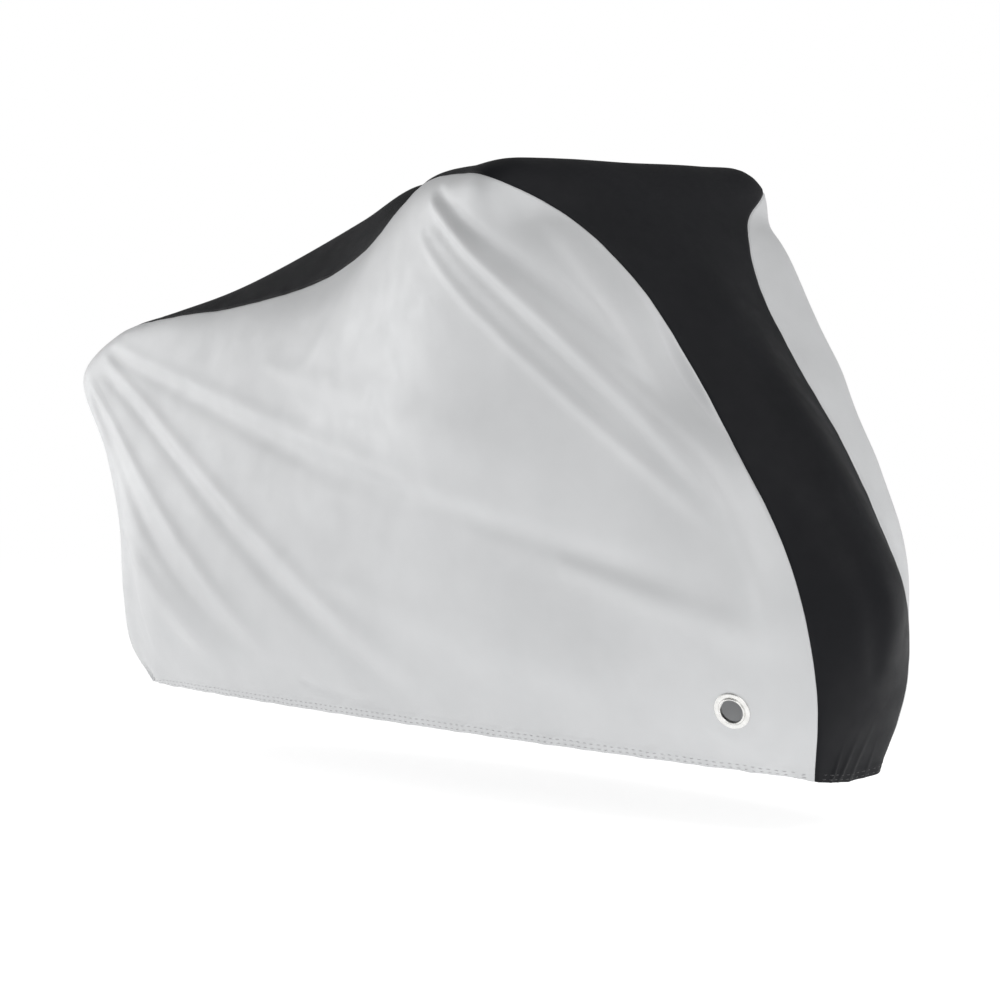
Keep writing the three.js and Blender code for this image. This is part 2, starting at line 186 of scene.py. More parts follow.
def spline(points, at):
    """Smooth curve through points along their last axis but one, at whole numbers for the points.
    Neighbours are joined by cubics whose end slopes weigh the chords by the roots of their lengths."""
    before = 2 * points[..., :1, :] - points[..., 1:2, :]
    after = 2 * points[..., -1:, :] - points[..., -2:-1, :]
    padded = np.concatenate([before, points, after], axis=-2)
    at = np.broadcast_to(at, points.shape[:-2] + np.shape(at)[-1:])
    span = np.clip(np.floor(at).astype(int), 0, points.shape[-2] - 2)
    way = (at - span)[..., None]
    p0, p1, p2, p3 = (np.take_along_axis(padded, (span + k)[..., None], axis=-2) for k in range(4))
    chords = (p1 - p0, p2 - p1, p3 - p2)
    d0, d1, d2 = (np.sqrt(np.linalg.norm(chord, axis=-1, keepdims=True)) for chord in chords)
    slope1 = ((p1 - p0) / d0 - (p2 - p0) / (d0 + d1) + (p2 - p1) / d1) * d1
    slope2 = ((p2 - p1) / d1 - (p3 - p1) / (d1 + d2) + (p3 - p2) / d2) * d1
    square = 3 * (p2 - p1) - 2 * slope1 - slope2
    cube = 2 * (p1 - p2) + slope1 + slope2
    return p1 + way * (slope1 + way * (square + way * cube))


def distances_along(points, axis):
    """Length of the broken line along one axis of a grid, from its first point to each point."""
    steps = np.linalg.norm(np.diff(points, axis=axis), axis=-1)
    start = np.zeros_like(np.take(steps, [0], axis=axis))
    return np.concatenate([start, np.cumsum(steps, axis=axis)], axis=axis)


def hem_half_width(x):
    """Half-width of the hem's oval: its widest, less a power of the way from there to its ends."""
    way = np.abs(x - HEM_MIDDLE) / HEM_HALF_LENGTH
    return HEM_HALF_WIDTH - (HEM_HALF_WIDTH - HEM_END_HALF_WIDTH) * way ** HEM_FULLNESS


def section_points():
    """Crown, rim, shoulder, belly and hem of each section on the left half, a row for each line."""
    crown = np.insert(SECTIONS["crown"], 1, 0, axis=1)
    shoulder = SECTIONS["shoulder"]
    hem_x = SECTIONS["hem"]
    half_width = hem_half_width(hem_x)
    height = HEM_HEIGHT - HEM_FALL * hem_x + HEM_LIFT * (half_width - HEM_END_HALF_WIDTH)
    hem = np.stack([hem_x, half_width, height], axis=1)
    drop = np.linalg.norm(shoulder - hem, axis=1)
    belly = hem + BELLY_WAY * (shoulder - hem)
    belly[:, 1] += BELLY_OUT * np.minimum(1, drop / BELLY_FULL_DROP)
    return np.stack([crown, SECTIONS["rim"], shoulder, belly, hem])


def lines_at(stations):
    """The nine lines along the cover, right hem to left hem, at stations counted in sections."""
    left = spline(section_points(), stations).swapaxes(0, 1)
    right = left[:, :0:-1] * (1, -1, 1)
    return np.concatenate([right, left], axis=1)


def spread(total, near_start, near_end, cells):
    """Distances from one edge to the other: the set ones at both edges, even steps between them."""
    total = np.asarray(total, float)[..., None]
    shrink = np.minimum(1, total / (EDGE_SHARE * (near_start[-1] + near_end[-1])))
    start = shrink * near_start
    end = total - shrink * near_end[::-1]
    way = np.linspace(0, 1, cells + 1)[1:-1]
    middle = start[..., -1:] + way * (end[..., :1] - start[..., -1:])
    return np.concatenate([start, middle, end], axis=-1)


def columns_at(lines, first, last, near_first, near_last, cells):
    """Places across the cover at each station, their distances from the first edge, and the whole way.
    The distances are measured along a finely sampled line across and turned back into places."""
    samples = first + (last - first) * np.linspace(0, 1, ACROSS_SAMPLES)
    lengths = distances_along(spline(lines, samples + HEM), 1)
    distances = spread(lengths[:, -1], near_first, near_last, cells)
    apart = (lengths.max() + 1) * np.arange(len(lengths))[:, None]  # keeps the stations in order
    places = np.interp(distances + apart, (lengths + apart).ravel(), samples.ravel())
    return places, distances, lengths[:, -1:]


def outward(points, side):
    """Unit normals of a grid: the cross product of its two directions, turned out on either side."""
    normals = side * np.cross(np.gradient(points, axis=1), np.gradient(points, axis=0))
    return normals / np.linalg.norm(normals, axis=-1, keepdims=True)


def fold_rise(folds, x, z):
    """Height of a set of folds at x, z. Each follows a line bowed as a parabola. It is higher where it
    is wider, falls off beside the line as a bell curve, and dies out at both ends of the line."""
    height = np.zeros_like(x)
    for fold in folds:
        along = fold["end"] - fold["start"]
        length = np.hypot(*along)
        from_x = x - fold["start"][0]
        from_z = z - fold["start"][1]
        way = np.clip((from_x * along[0] + from_z * along[1]) / length ** 2, 0, 1)
        bowed = fold["bow"] * 4 * way * (1 - way)
        beside = (along[0] * from_z - along[1] * from_x) / length - bowed
        width = fold["widths"][0] + way * (fold["widths"][1] - fold["widths"][0])
        ends = smoothstep(way, 0, FOLD_RISE_WAY) * smoothstep(1 - way, 0, FOLD_FADE_WAY)
        height += fold["rise"] * width / fold["widths"].max() * ends * np.exp(-(beside / width) ** 2)
    return height


def peak_end_rise(points, end_rise):
    """Height of the soft knob at the nearer end of the peak: a bell curve of the distance from it."""
    offset = points - PEAK_END_PLACE
    offset[..., 1] = np.abs(points[..., 1]) - PEAK_END_PLACE[1]
    return end_rise * np.exp(-(offset ** 2).sum(axis=-1) / PEAK_END_RADIUS ** 2)


def pucker(distance):
    """Uneven waves along a sewn edge: a sum of three sines of different lengths."""
    length, height, phase = PUCKER_WAVES.T
    return (height * np.sin(2 * np.pi * distance[..., None] / length + phase)).sum(axis=-1)


def hem_band(distance):
    """1 on the turned-up hem and 0 above it, with a soft step between."""
    return 1 - smoothstep(distance, *HEM_BAND)


def hem_edge(distance):
    """1 at the hem's foot, falling to 0 over its rounding."""
    return (1 - np.clip(distance / HEM_ROUND, 0, 1)) ** 2


def hem_finish(distance, along):
    """Height of the hem's outside: the doubled cloth, less its rounded foot and a groove for each row
    of stitches, plus puckers that die out above it."""
    grooves = sum(np.exp(-((distance - row) / STITCH_SINK_WIDTH) ** 2) for row in STITCH_ROWS)
    waves = pucker(along) * np.exp(-(distance / HEM_PUCKER_REACH) ** 2)
    return HEM_RISE * hem_band(distance) - HEM_TUCK * hem_edge(distance) - STITCH_SINK * grooves + waves


def hem_thickness(distance):
    """Thickness of the cloth, doubled at the hem and rounded off at its foot."""
    whole = CLOTH_THICKNESS + (HEM_RISE + HEM_EXTRA) * hem_band(distance)
    return whole * (1 - HEM_TUCK * hem_edge(distance))


def seam_finish(distance, along):
    """Height of the cloth beside a seam: a soft dip at the seam and fine puckers along it."""
    waves = SEAM_PUCKER * pucker(along) * np.exp(-(distance / SEAM_PUCKER_REACH) ** 2)
    return waves - SEAM_DIP * np.exp(-(distance / SEAM_DIP_WIDTH) ** 2)


def eyelet_place(mount_name):
    """Middle and outward direction of an eyelet, worked back from the mount on its flange."""
    mount = next(m for m in frame["record"]["mounts"] if m["name"] == mount_name)
    axis = np.array(mount["axis"])
    axis /= np.linalg.norm(axis)
    up = np.array([0, 0, 1]) - axis[2] * axis
    up /= np.linalg.norm(up)
    face = np.array(mount["pos_m"]) / MM + (0, 0, CARRIED_HEIGHT)
    return face - EYELET_FACE * axis - EYELET_MOUNT_UP * up, axis


def eyelet_radius(points, centre, axis):
    """Height above the eyelet's plane, and distance from its axis, of points near its cloth."""
    height = (points - centre) @ axis
    radius = np.linalg.norm(points - centre - height[..., None] * axis, axis=-1)
    return height, np.where(np.abs(height) < EYELET_FADE_RADIUS, radius, np.inf)


def flatten_at_eyelet(points, centre, axis):
    """Points drawn onto the plane of the eyelet, wholly near it and less and less further out."""
    height, radius = eyelet_radius(points, centre, axis)
    share = 1 - smoothstep(radius, EYELET_FLAT_RADIUS, EYELET_FADE_RADIUS)
    return points + (share * (EYELET_CLOTH_FACE - height))[..., None] * axis


def round_the_cut(points, cut, centre, axis):
    """Draws the corners along the edge of the cut-away cells onto a circle about the eyelet."""
    cut_beside = np.zeros((*points.shape[:2], 4), bool)  # the four cells that share each corner
    cut_beside[:-1, :-1, 0] = cut
    cut_beside[1:, :-1, 1] = cut
    cut_beside[:-1, 1:, 2] = cut
    cut_beside[1:, 1:, 3] = cut
    edge = cut_beside.any(axis=-1) & ~cut_beside.all(axis=-1)
    height, radius = eyelet_radius(points[edge], centre, axis)
    foot = centre + height[:, None] * axis
    rounded = points.copy()
    rounded[edge] = foot + (points[edge] - foot) * (EYELET_CUT_RADIUS / radius)[:, None]
    return rounded


samples = np.linspace(0, len(SECTIONS) - 1, LINE_SAMPLES)
crown_way = distances_along(spline(section_points()[0], samples), 0)
station_way = spread(crown_way[-1], HEM_STEPS, HEM_STEPS, STATION_CELLS)
stations = np.interp(station_way, crown_way, samples)
lines = lines_at(stations)
seam_place = np.interp(stations, np.arange(len(SECTIONS)), SECTIONS["seam"])[:, None]


def side_panel(side, folds, end_rise, eyelet):
    """Outer grid of a side panel, stations by columns from seam to hem, with the distances of its
    points from the hem and the cells that its eyelet cuts away."""
    across, from_seam, whole = columns_at(lines, seam_place, HEM, SEAM_STEPS, HEM_STEPS, PANEL_CELLS)
    plain = spline(lines, across + HEM) * (1, side, 1)
    on_panel = smoothstep(across, RIM, FOLD_START) * (1 - smoothstep(across, FOLD_END, HEM))
    rise = on_panel * fold_rise(folds, plain[..., 0], plain[..., 2]) + peak_end_rise(plain, end_rise)
    folded = plain + rise[..., None] * outward(plain, side)

    along = distances_along(folded, 0)
    from_hem = np.minimum(whole - from_seam, np.minimum(along, along[-1:] - along))
    finish = hem_finish(from_hem, along) + seam_finish(from_seam, along)
    finished = folded + finish[..., None] * outward(folded, side)

    flat = flatten_at_eyelet(finished, *eyelet)
    middles = (flat[:-1, :-1] + flat[1:, :-1] + flat[:-1, 1:] + flat[1:, 1:]) / 4
    cut = eyelet_radius(middles, *eyelet)[1] < EYELET_CUT_RADIUS
    return round_the_cut(flat, cut, *eyelet), from_hem, cut


def grid_quads(rows, columns, side):
    """Corner numbers of each cell of a grid, in the order that makes its face point outwards."""
    first = np.arange((rows - 1) * columns).reshape(rows - 1, columns)[:, :-1].reshape(-1, 1)
    quads = first + np.array([0, 1, columns + 1, columns])
    return quads[:, ::side]


def rim_quads(quads, count):
    """Walls between a face and its copy count points later, along each edge with one cell only."""
    edges = np.stack([quads, np.roll(quads, -1, axis=1)], axis=-1).reshape(-1, 2)
    forward = edges[:, 0] * count + edges[:, 1]
    backward = edges[:, 1] * count + edges[:, 0]
    start, end = edges[~np.isin(forward, backward)].T
    return np.stack([end, start, start + count, end + count], axis=1)


def add_object(name, data):
    """A new object in the scene, at the origin."""
    made = bpy.data.objects.new(name, data)
    bpy.context.scene.collection.objects.link(made)
    return made


def add_piece(name, points, quads, material, uv=None):
    """A mesh object from points in millimetres and four-cornered faces, with unused points dropped."""
    used, corners = np.unique(quads, return_inverse=True)
    placed = (points[used] - (0, 0, CARRIED_HEIGHT)) * MM
    mesh = bpy.data.meshes.new(name)
    mesh.vertices.add(len(used))
    mesh.vertices.foreach_set("co", placed.ravel())
    mesh.loops.add(quads.size)
    mesh.loops.foreach_set("vertex_index", corners.ravel())
    mesh.polygons.add(len(quads))
    mesh.polygons.foreach_set("loop_start", np.arange(0, quads.size, quads.shape[1]))
    mesh.update(calc_edges=True)
    mesh.polygons.foreach_set("use_smooth", np.ones(len(quads), bool))
    mesh.set_sharp_from_angle(angle=SHARP_ANGLE)
    if uv is not None:
        mesh.uv_layers.new(name="cut").data.foreach_set("uv", uv[quads.ravel()].ravel())
    mesh.materials.append(material)
    return add_object(name, mesh)


def add_cloth(name, outer, thickness, uv, side, material, cut=None):
    """A closed sheet of cloth: the outer grid, an inner one a thickness behind it, and the walls along
    every edge. Cells where cut is true are left out."""
    inner = outer - thickness[..., None] * outward(outer, side)
    count = outer.shape[0] * outer.shape[1]
    quads = grid_quads(*outer.shape[:2], side)
    if cut is not None:
        quads = quads[~cut.ravel()]
    faces = np.concatenate([quads, quads[:, ::-1] + count, rim_quads(quads, count)])
    points = np.concatenate([outer.reshape(-1, 3), inner.reshape(-1, 3)])
    return add_piece(name, points, faces, material, np.tile(uv.reshape(-1, 2) * MM, (2, 1)))


def set_inputs(material, node, inputs):
    """Sets a node's inputs to values, or links them from sockets."""
    for name, value in inputs.items():
        if isinstance(value, bpy.types.NodeSocket):
            material.node_tree.links.new(value, node.inputs[name])
        else:
            node.inputs[name].default_value = value


def add_node(material, kind, inputs, **settings):
    """A shader node with its settings and inputs."""
    node = material.node_tree.nodes.new(kind)
    for name, value in settings.items():
        setattr(node, name, value)
    set_inputs(material, node, inputs)
    return node


def new_material(name):
    """A material, and its shader and texture coordinates."""
    material = bpy.data.materials.new(name)
    material.use_nodes = True
    coordinates = add_node(material, "ShaderNodeTexCoord", {})
    return material, material.node_tree.nodes["Principled BSDF"], coordinates.outputs


# Noises. scale: lumps in a metre. detail: how many finer noises are added to it.
NOISE_SPAN = (0.3, 0.7)  # most of a noise lies between these values
CLOUDS = {"Scale": 7, "Detail": 4}  # in the colour of cloth
DULL_SPOTS = {"Scale": 25, "Detail": 3}  # in the gloss of cloth
CRINKLES = {"Scale": 38, "Detail": 3}  # in the face of cloth
CRINKLE_HEIGHT = 0.00022
WEAVE_PITCH = 0.0007  # of the threads, in metres
WEAVE_HEIGHT = 0.00006
WAVE_PERIOD = 0.314159  # of a wave texture at scale 1


def varied(material, coordinates, noise, low, high):
    """A noise on the piece that runs between two colours."""
    lumps = add_node(material, "ShaderNodeTexNoise", {"Vector": coordinates["Object"], **noise})
    ramp = add_node(material, "ShaderNodeValToRGB", {"Fac": lumps.outputs["Fac"]})
    for stop, position, colour in zip(ramp.color_ramp.elements, NOISE_SPAN, (low, high)):
        stop.position = position
        stop.color = (*colour, 1)
    return ramp.outputs["Color"]


def varied_value(material, coordinates, noise, low, high):
    """A noise on the piece that runs between two values, given as greys."""
    return varied(material, coordinates, noise, (low, low, low), (high, high, high))


def woven_bump(material, coordinates):
    """Normal of coated woven cloth: a grid of warp and weft threads over a faint crinkle."""
    thread = {"Vector": coordinates["UV"], "Scale": WAVE_PERIOD / WEAVE_PITCH}
    warp = add_node(material, "ShaderNodeTexWave", thread, bands_direction="X")
    weft = add_node(material, "ShaderNodeTexWave", thread, bands_direction="Y")
    heights = {0: warp.outputs["Fac"], 1: weft.outputs["Fac"]}
    weave = add_node(material, "ShaderNodeMath", heights, operation="MULTIPLY")
    crinkle = add_node(material, "ShaderNodeTexNoise", {"Vector": coordinates["Object"], **CRINKLES})
    soft = {"Height": crinkle.outputs["Fac"], "Distance": CRINKLE_HEIGHT}
    crinkled = add_node(material, "ShaderNodeBump", soft)
    fine = {"Height": weave.outputs[0], "Distance": WEAVE_HEIGHT, "Normal": crinkled.outputs["Normal"]}
    return add_node(material, "ShaderNodeBump", fine).outputs["Normal"]


SILVER_DARK = (0.583, 0.59, 0.598)
SILVER_LIGHT = (0.628, 0.635, 0.643)

silver_cloth, shader, coordinates = new_material("silver_cloth")
set_inputs(silver_cloth, shader, {
    "Base Color": varied(silver_cloth, coordinates, CLOUDS, SILVER_DARK, SILVER_LIGHT),
    "Metallic": 0.15,
    "Roughness": varied_value(silver_cloth, coordinates, DULL_SPOTS, 0.46, 0.56),
    "Sheen Weight": 0.12,
    "Sheen Roughness": 0.45,
    "Normal": woven_bump(silver_cloth, coordinates),
})


def hang_side_panel(name, side, folds, end_rise, eyelet):
    """A side panel with its hem and the hole for its eyelet, and the panel's outer grid."""
    outer, from_hem, cut = side_panel(side, folds, end_rise, eyelet)
    seen_from_side = outer[..., [0, 2]]
    panel = add_cloth(name, outer, hem_thickness(from_hem), seen_from_side, side, silver_cloth, cut)
    return panel, outer


right_eyelet = eyelet_place("right_eyelet_face")
right_panel, right_outer = hang_side_panel("right_panel_cloth", RIGHT, RIGHT_FOLDS, RIGHT_END_RISE,
                                           right_eyelet)
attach(right_panel, "root")
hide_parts("right_panel", "right_eyelet_patch")


# Left side panel: the mirror cut of the right one in the same silver cloth, sewn on in the same way.
# It hangs in folds of its own, and the peak stands a little higher on this side.
LEFT_FOLDS = np.array([
    ((-150, 930), (390, 445), -18, (8, 34), -11),
    ((-90, 915), (330, 600), -8, (8, 36), 10),
    ((-165, 925), (360, 390), -4, (7, 20), 8),
    ((-210, 900), (190, 380), 14, (8, 42), 11),
    ((-1120, 690), (-300, 520), 22, (9, 46), 10),
    ((-1140, 680), (-60, 330), 6, (8, 26), 8),
    ((-1150, 650), (-180, 210), -26, (9, 52), -12),
    ((-1172, 610), (-560, 170), 12, (8, 40), 13),
    ((-1165, 585), (-720, 165), 30, (7, 24), -8),
    ((-420, 470), (420, 290), -20, (9, 46), 9),
    ((-1170, 480), (-860, 180), 0, (9, 34), 9),
], FOLD_COLUMNS)
LEFT_END_RISE = 8

left_eyelet = eyelet_place("left_eyelet_face")
left_panel, left_outer = hang_side_panel("left_panel_cloth", LEFT, LEFT_FOLDS, LEFT_END_RISE,
                                         left_eyelet)
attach(left_panel, "root")
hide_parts("left_panel", "left_eyelet_patch")


# Centre panel: one strip of black coated polyester from the front hem over the peak and the hump to
# the rear hem, flared where it spans the peak. Both its ends are turned up, stitched and gathered.
CENTRE_CELLS = 116
CENTRE_FOLD_EDGE = 30  # folds die out over this way to the seams

# Soft folds on the strip. start and end: way along the crown from the front hem, y.
CENTRE_FOLDS = np.array([
    ((150, -10), (830, 12), -46, (18, 48), -11),
], FOLD_COLUMNS)

# Gathers above the hems. y: place on the hem. lean: sideways for each millimetre up. reach: height.
GATHER_COLUMNS = [(name, float) for name in ("y", "lean", "reach", "width", "rise")]
FRONT_GATHERS = np.array([
    (-49, 0.12, 26, 3.6, 2.4),
    (-32, 0.22, 40, 4.4, 2.0),
    (-7, 0.22, 46, 5.6, 1.5),
    (31, 0.1, 26, 5, 1.0),
], GATHER_COLUMNS)
REAR_GATHERS = np.array([
    (-64, 0.1, 50, 7, 2.2),
    (-38, -0.15, 62, 8, 2.4),
    (-9, 0.05, 48, 6, 2.0),
    (21, 0.12, 66, 8, 2.6),
    (55, -0.1, 50, 7, 2.2),
], GATHER_COLUMNS)
GATHER_TOP = 16  # height above the hem where a gather is fullest
GATHER_FOOT = 0.4  # share of a gather's rise that is left at the hem


def gather_rise(gathers, y, from_end):
    """Height of a row of gathers: leaning ridges with a bell-curved back, fullest just above the hem
    and fading upwards over their reach."""
    height = np.zeros_like(y)
    for gather in gathers:
        beside = y - gather["y"] - gather["lean"] * from_end
        above = np.maximum(from_end - GATHER_TOP, 0) / gather["reach"]
        fullness = GATHER_FOOT + (1 - GATHER_FOOT) * smoothstep(from_end, 0, GATHER_TOP)
        height += gather["rise"] * fullness * np.exp(-(beside / gather["width"]) ** 2 - above ** 2)
    return height


def centre_strip():
    """Outer grid of the centre panel, stations by columns from right to left, with the distances of its
    points from the nearer hem and from the right seam."""
    steps = SEAM_STEPS - SEAM_STEPS[0]
    across, from_right, whole = columns_at(lines, -seam_place, seam_place, steps, steps, CENTRE_CELLS)
    plain = spline(lines, across + HEM)
    end_rise = np.where(across < 0, RIGHT_END_RISE, LEFT_END_RISE)
    capped = plain + peak_end_rise(plain, end_rise)[..., None] * outward(plain, LEFT)

    from_seam = np.minimum(from_right, whole - from_right)
    along = distances_along(capped, 0)
    to_rear = along[-1:] - along
    from_hem = np.minimum(along, to_rear)
    y = capped[..., 1]
    crown_distance = np.broadcast_to(station_way[:, None], y.shape)
    rise = fold_rise(CENTRE_FOLDS, crown_distance, y) * smoothstep(from_seam, 0, CENTRE_FOLD_EDGE)
    rise += gather_rise(FRONT_GATHERS, y, along) + gather_rise(REAR_GATHERS, y, to_rear)
    rise += hem_finish(from_hem, from_right) + seam_finish(from_seam, along)
    return capped + rise[..., None] * outward(capped, LEFT), from_hem, from_right


BLACK_DARK = (0.0055, 0.0058, 0.0075)
BLACK_LIGHT = (0.0075, 0.0078, 0.0098)

black_cloth, shader, coordinates = new_material("black_cloth")
set_inputs(black_cloth, shader, {
    "Base Color": varied(black_cloth, coordinates, CLOUDS, BLACK_DARK, BLACK_LIGHT),
    "Roughness": varied_value(black_cloth, coordinates, DULL_SPOTS, 0.5, 0.6),
    "Specular IOR Level": 0.16,
    "Normal": woven_bump(black_cloth, coordinates),
})

centre_outer, centre_from_hem, from_right_seam = centre_strip()
laid_flat = np.stack(np.broadcast_arrays(station_way[:, None], from_right_seam), axis=-1)
centre_panel = add_cloth("centre_panel_cloth", centre_outer, hem_thickness(centre_from_hem), laid_flat,
                         LEFT, black_cloth)
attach(centre_panel, "root")
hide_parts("centre_panel")


# Hem stitching: two rows of straight stitches in polyester thread, grey on the silver panels and black
# on the centre panel. Each stitch arches out of the cloth and dives back into it.
STITCH_PITCH = 13
STITCH_LENGTH = 8
STITCH_ARCH = 1.1  # height of a stitch's middle over its ends
STITCH_FOOT = -0.6  # its ends lie below the face of the cloth
STITCH_MARGIN = 6  # from the end of a row to its first stitch
STITCH_RINGS = 7
THREAD_RADIUS = 0.8
THREAD_BLUNT = 0.05  # share of the thread's section that is left at the ends of a stitch
THREAD_SIDES = 6
THREAD_END = np.array([(0, 1, 2, 3), (0, 3, 4, 5)])  # two faces close each six-sided end


def stitch_row(path, normals):
    """Points and faces of one row: threads of round section along a path on the cloth, lifted along its
    normals by a parabola and drawn in towards their ends as an ellipse."""
    way = distances_along(path, 0)
    count = int((way[-1] - 2 * STITCH_MARGIN) // STITCH_PITCH)
    middles = way[-1] / 2 + STITCH_PITCH * (np.arange(count) - (count - 1) / 2)
    along = np.linspace(-1, 1, STITCH_RINGS)
    at = middles[:, None] + STITCH_LENGTH / 2 * along
    centre = np.stack([np.interp(at, way, column) for column in path.T], axis=-1)
    out = np.stack([np.interp(at, way, column) for column in normals.T], axis=-1)
    centre += (STITCH_FOOT + STITCH_ARCH * (1 - along ** 2))[:, None] * out
    ahead = np.gradient(centre, axis=1)
    beside = np.cross(out, ahead)
    beside /= np.linalg.norm(beside, axis=-1, keepdims=True)
    angle = np.linspace(0, 2 * np.pi, THREAD_SIDES, endpoint=False)
    radius = THREAD_RADIUS * np.sqrt(1 + THREAD_BLUNT - along ** 2)[:, None, None]
    ring = np.cos(angle)[:, None] * beside[:, :, None] + np.sin(angle)[:, None] * out[:, :, None]
    points = centre[:, :, None] + radius * ring

    ring_start = THREAD_SIDES * np.arange(STITCH_RINGS - 1)[:, None]
    corner = ring_start + np.arange(THREAD_SIDES)
    next_corner = ring_start + np.roll(np.arange(THREAD_SIDES), -1)
    tube = [corner, next_corner, next_corner + THREAD_SIDES, corner + THREAD_SIDES]
    far_end = THREAD_END + THREAD_SIDES * (STITCH_RINGS - 1)
    one = np.concatenate([np.stack(tube, axis=-1).reshape(-1, 4), THREAD_END[:, ::-1], far_end])
    starts = np.arange(count)[:, None, None] * STITCH_RINGS * THREAD_SIDES
    return points.reshape(-1, 3), (one + starts).reshape(-1, 4)


def stitch_paths(outer, side, columns, stations):
    """Paths and normals of the stitch rows along the given columns and stations of a grid."""
    normals = outward(outer, side)
    along_hem = [(outer[:, k], normals[:, k]) for k in columns]
    along_ends = [(outer[k], normals[k]) for k in stations]
    return along_hem + along_ends


def add_stitches(name, rows, material):
    """One piece from several rows of stitches."""
    made = [stitch_row(path, normals) for path, normals in rows]
    starts = np.cumsum([0] + [len(points) for points, _ in made])
    quads = np.concatenate([quads + start for (_, quads), start in zip(made, starts)])
    return add_piece(name, np.concatenate([points for points, _ in made]), quads, material)


FLECKS = {"Scale": 900, "Detail": 2}  # in the colour of thread


def thread_material(name, dark, light):
    """Dull polyester thread: fine flecks in its colour and a little sheen."""
    material, shader, coordinates = new_material(name)
    set_inputs(material, shader, {
        "Base Color": varied(material, coordinates, FLECKS, dark, light),
        "Roughness": 0.6,
        "Sheen Weight": 0.2,
    })
    return material


stitch_steps = [int(np.searchsorted(HEM_STEPS, row)) for row in STITCH_ROWS]
hem_columns = [-1 - step for step in stitch_steps]
end_stations = stitch_steps + hem_columns
right_rows = stitch_paths(right_outer, RIGHT, hem_columns, end_stations)
left_rows = stitch_paths(left_outer, LEFT, hem_columns, end_stations)
centre_rows = stitch_paths(centre_outer, LEFT, [], end_stations)

grey_thread = thread_material("grey_thread", (0.48, 0.48, 0.49), (0.56, 0.56, 0.57))
black_thread = thread_material("black_thread", (0.014, 0.014, 0.016), (0.024, 0.024, 0.027))
right_stitches = add_stitches("right_hem_stitches", right_rows, grey_thread)
left_stitches = add_stitches("left_hem_stitches", left_rows, grey_thread)
centre_stitches = add_stitches("centre_hem_stitches", centre_rows, black_thread)
for stitches in (right_stitches, left_stitches, centre_stitches):
    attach(stitches, "root")


# Eyelets: stamped brass, bright nickel plate. The front half has a domed flange and a barrel that is
# rolled over a washer behind the cloth, so that the cloth is clamped between flange and washer.
EYELET_SIDES = 120

# Arcs of the section, once round. middle and half_axes: radius, height over the middle of the cloth.
# turn: angles at the arc's start and end, in degrees from the outward direction.
ARC_COLUMNS = [("middle", float, 2), ("half_axes", float, 2), ("turn", float, 2)]
EYELET_ARCS = np.array([
    ((25.2, 1.45), (3.8, 1.75), (-17, 90)),  # the flange's outer edge
    ((25.2, 2.45), (3.5, 0.75), (90, 180)),  # the flange's inner slope
    ((19.7, 2.6), (1.7, 1.95), (0, 180)),  # the rolled lip, which ends in the barrel
    ((19.75, -1.8), (1.75, 1.4), (180, 345)),  # the barrel's end, rolled over the washer
    ((26.1, -1.22), (1.4, 0.93), (270, 450)),  # the washer's edge
], ARC_COLUMNS)
ARC_STEPS = 10
EYELET_NECK = [(19.2, -0.29), (19.2, 0.94)]  # between the washer and the underside of the flange


def eyelet_section():
    """Radius and height of points once round the section: along each arc, then up the neck."""
    from_angle, to_angle = np.radians(EYELET_ARCS["turn"]).T[..., None]
    angle = from_angle + (to_angle - from_angle) * np.linspace(0, 1, ARC_STEPS + 1)
    directions = np.stack([np.cos(angle), np.sin(angle)], axis=-1)
    arcs = EYELET_ARCS["middle"][:, None] + EYELET_ARCS["half_axes"][:, None] * directions
    return np.concatenate([arcs.reshape(-1, 2), EYELET_NECK])


def eyelet_ring(centre, axis):
    """Points and faces of an eyelet: the section turned once about the eyelet's axis."""
    angle = np.linspace(0, 2 * np.pi, EYELET_SIDES, endpoint=False)
    start = np.cross(axis, (0, 0, 1))
    start /= np.linalg.norm(start)
    around = np.cos(angle)[:, None] * start + np.sin(angle)[:, None] * np.cross(axis, start)
    radius, height = eyelet_section().T
    points = centre + radius[:, None] * around[:, None] + height[:, None] * axis

    ring = np.arange(EYELET_SIDES)[:, None] * len(radius)
    next_ring = np.roll(ring, -1, axis=0)
    point = np.arange(len(radius))
    next_point = np.roll(point, -1)
    corners = [next_ring + point, next_ring + next_point, ring + next_point, ring + point]
    return points.reshape(-1, 3), np.stack(corners, axis=-1).reshape(-1, 4)


TARNISH = {"Scale": 120, "Detail": 4}  # in the colour of nickel
POLISH = {"Scale": 260, "Detail": 5}  # in its gloss
SCRATCHES = {"Scale": 1500, "Detail": 4}
SCRATCH_DEPTH = 0.00001
NICKEL_DARK = (0.7, 0.695, 0.675)
NICKEL_LIGHT = (0.8, 0.795, 0.78)

nickel, shader, coordinates = new_material("nickel")
scratch = add_node(nickel, "ShaderNodeTexNoise", {"Vector": coordinates["Object"], **SCRATCHES})
scratch_bump = {"Height": scratch.outputs["Fac"], "Distance": SCRATCH_DEPTH}
scratched = add_node(nickel, "ShaderNodeBump", scratch_bump)
set_inputs(nickel, shader, {
    "Base Color": varied(nickel, coordinates, TARNISH, NICKEL_DARK, NICKEL_LIGHT),
    "Metallic": 1.0,
    "Roughness": varied_value(nickel, coordinates, POLISH, 0.16, 0.3),
    "Normal": scratched.outputs["Normal"],
})

right_ring = add_piece("right_eyelet_ring", *eyelet_ring(*right_eyelet), nickel)
left_ring = add_piece("left_eyelet_ring", *eyelet_ring(*left_eyelet), nickel)
for ring, node in ((right_ring, "right_eyelet"), (left_ring, "left_eyelet")):
    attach(ring, "root")
    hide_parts(node)


